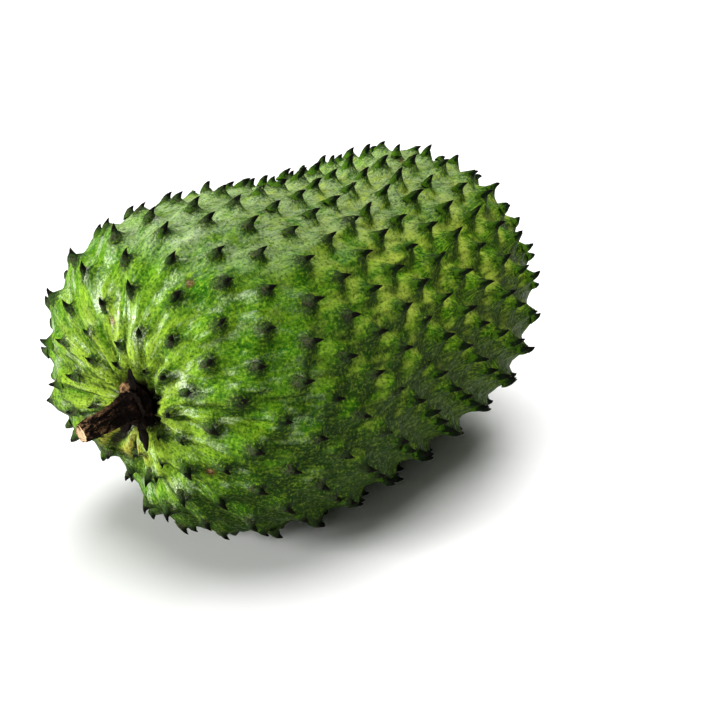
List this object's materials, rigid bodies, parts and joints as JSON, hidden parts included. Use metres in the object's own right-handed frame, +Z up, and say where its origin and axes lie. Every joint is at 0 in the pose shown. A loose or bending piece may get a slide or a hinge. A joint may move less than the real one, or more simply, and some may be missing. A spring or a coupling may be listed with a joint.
{
  "type": "soursop",
  "caption": "Whole soursop lying on its side: blunt oblong green fruit set all over with low mounds that each end in a dark hooked thorn, with a short cut woody stem.",
  "frame": {"origin": "centre of the bounding box's underside, on the flat the fruit lies on", "axes": "+X along the fruit from the stem end to the apex, +Z up, +Y to the side"},
  "size_m": [0.2248, 0.1296, 0.1251],
  "materials": {
    "rind": "glossy mottled green rind, greyer and waxy on top, with dark thorn tips",
    "bark": "rough dark brown bark with a pale fibrous cut face"
  },
  "bodies": {
    "root": {"fruit": "rind", "stem": "bark"}
  },
  "joints": []
}
